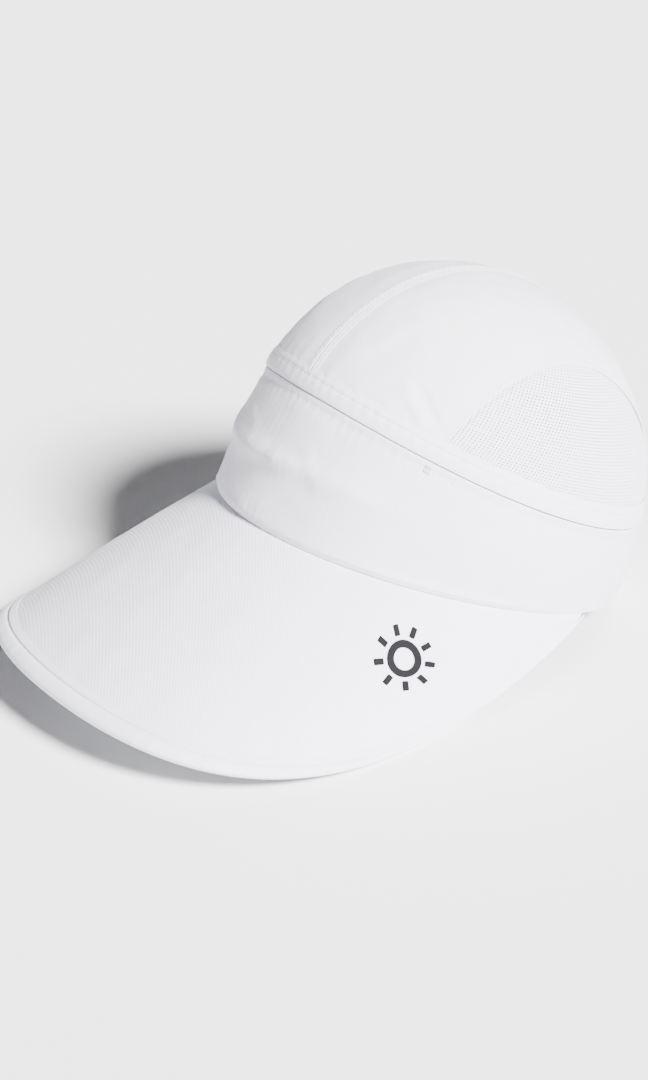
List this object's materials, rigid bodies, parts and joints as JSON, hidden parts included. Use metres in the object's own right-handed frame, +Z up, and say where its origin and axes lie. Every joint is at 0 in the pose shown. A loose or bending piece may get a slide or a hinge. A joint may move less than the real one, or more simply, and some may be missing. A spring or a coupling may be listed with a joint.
{
  "type": "sun visor",
  "caption": "White fabric sun visor with a wide down-turned brim, a padded band, a soft crown with mesh sides that zips off, and a rear hook-and-loop adjuster.",
  "frame": {"origin": "on the table under the middle of the hat's length and width, where the hat stands by itself on the two corners of its brim and the rear edge of its band", "axes": "+Z up; -Y the wearer's front, where the brim points; +X the wearer's left; the head's own axis leans 21.7 degrees, from +Z towards +Y"},
  "size_m": [0.1998, 0.3017, 0.1592],
  "materials": {
    "crown_cloth": "fine plain woven polyester, matt white",
    "mesh_knit": "white knit with small round holes",
    "seam_tape": "narrow woven white tape",
    "zip_tape": "woven white zip tape",
    "zip_teeth": "white moulded teeth, satin",
    "zip_plastic": "white painted, satin",
    "band_cloth": "fine plain woven polyester, matt white",
    "foam": "thin laminated foam, pale grey",
    "lining_cloth": "light woven lining, white",
    "sweat_cloth": "brushed knit, soft white",
    "brim_cloth": "fine plain woven polyester, matt white",
    "brim_board": "bendable sheet, pale grey",
    "emblem_film": "dark grey heat-transfer film, satin",
    "label_cloth": "smooth woven label, blank",
    "strap_webbing": "woven white strap",
    "loop_tape": "fuzzy loop pile, white",
    "hook_tape": "moulded hooks, white"
  },
  "bodies": {
    "visor": {"band_outer_fabric": "band_cloth", "band_interlining": "foam", "band_lining": "lining_cloth", "band_top_facing": "band_cloth", "sweatband": "sweat_cloth", "brim_seam_allowance": "lining_cloth", "lower_zip_tape": "zip_tape", "lower_zip_teeth": "zip_teeth", "zip_box": "zip_plastic", "lower_zip_stop": "zip_plastic", "brim_top_fabric": "brim_cloth", "brim_core": "brim_board", "brim_under_fabric": "brim_cloth", "brim_edge_binding": "brim_cloth", "emblem": "emblem_film", "size_label": "label_cloth", "strap_left": "strap_webbing", "strap_right": "strap_webbing", "loop_patch": "loop_tape"},
    "crown": {"crown_left_panel": "crown_cloth", "crown_right_panel": "crown_cloth", "mesh_left": "mesh_knit", "mesh_right": "mesh_knit", "crown_center_tape": "seam_tape", "mesh_tape_left": "seam_tape", "mesh_tape_right": "seam_tape", "crown_hem": "crown_cloth", "upper_zip_tape": "zip_tape", "upper_zip_teeth": "zip_teeth", "zip_pin": "zip_plastic", "upper_zip_stop": "zip_plastic"},
    "zip_slider": {"slider_body": "zip_plastic"},
    "pull_tab": {"pull_tab": "zip_plastic"},
    "strap_tail": {"strap_tail": "strap_webbing", "hook_patch": "hook_tape"}
  },
  "joints": [
    {"name": "crown_lift", "type": "slide", "parent": "visor", "child": "crown", "axis": [0, 0.3704, 0.9289], "range_m": [0, 0.15]},
    {"name": "zip_run", "type": "hinge", "parent": "visor", "child": "zip_slider", "pos_m": [0, 0.08192, 0.05774], "axis": [0, 0.3704, 0.9289], "range_deg": [0, 22]},
    {"name": "pull_swing", "type": "hinge", "parent": "zip_slider", "child": "pull_tab", "pos_m": [-0.01029, 0.14952, 0.02971], "axis": [0.9903, 0.1293, -0.0515], "range_deg": [0, 110]},
    {"name": "strap_peel", "type": "hinge", "parent": "visor", "child": "strap_tail", "pos_m": [-0.01554, 0.13595, 0.00524], "axis": [-0.0201, 0.5036, 0.8637], "range_deg": [0, 90]}
  ]
}
